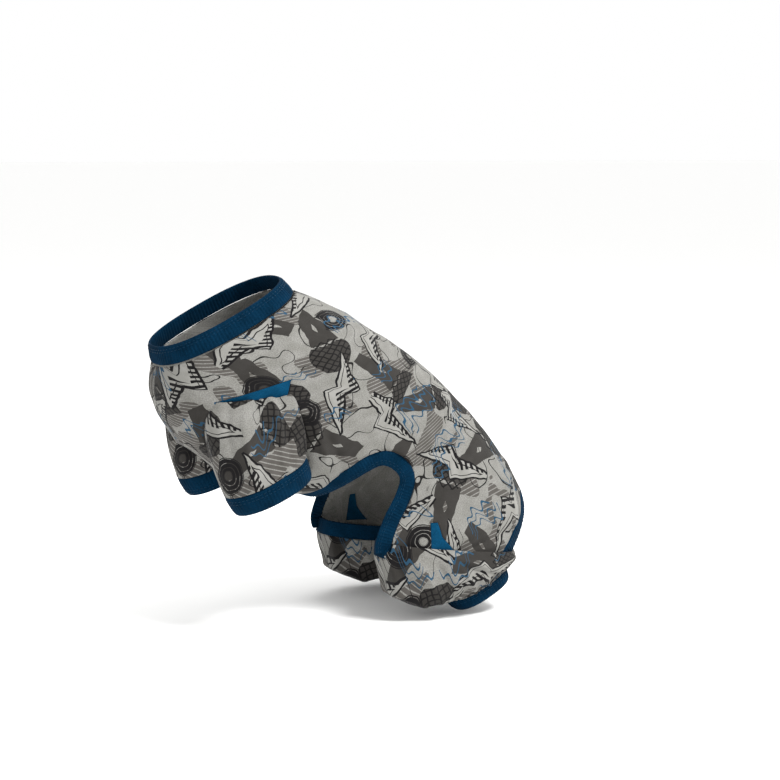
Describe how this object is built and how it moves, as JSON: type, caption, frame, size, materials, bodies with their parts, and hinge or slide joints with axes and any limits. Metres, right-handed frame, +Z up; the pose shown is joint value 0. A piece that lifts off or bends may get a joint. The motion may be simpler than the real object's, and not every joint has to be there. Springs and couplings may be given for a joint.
{
  "type": "dog jumpsuit with four short legs",
  "caption": "Knit dog jumpsuit in its worn, sitting form: body, neck band, two front sleeves, two bent hind legs, rib cuffs and bindings.",
  "frame": {"origin": "inner face of the back panel at the withers, on the middle line, where the garment sits on the dog's back", "axes": "+X to the wearer's left, +Y from the neck to the tail, +Z up"},
  "size_m": [0.1682, 0.3121, 0.2704],
  "materials": {
    "jersey": "heather grey cotton jersey with a dark and blue print",
    "rib_knit": "dark blue rib knit",
    "inset_knit": "brighter blue knit"
  },
  "bodies": {
    "root": {"body": "jersey", "neck_band": "rib_knit", "belly_binding": "rib_knit", "rump_binding": "rib_knit", "front_sleeve_left": "jersey", "front_sleeve_right": "jersey", "front_cuff_left": "rib_knit", "front_cuff_right": "rib_knit", "shoulder_inset_left": "inset_knit", "shoulder_inset_right": "inset_knit", "hind_leg_left": "jersey", "hind_leg_right": "jersey", "hind_cuff_left": "rib_knit", "hind_cuff_right": "rib_knit", "leg_binding_left": "rib_knit", "leg_binding_right": "rib_knit", "thigh_inset_left": "inset_knit", "thigh_inset_right": "inset_knit"}
  },
  "joints": []
}
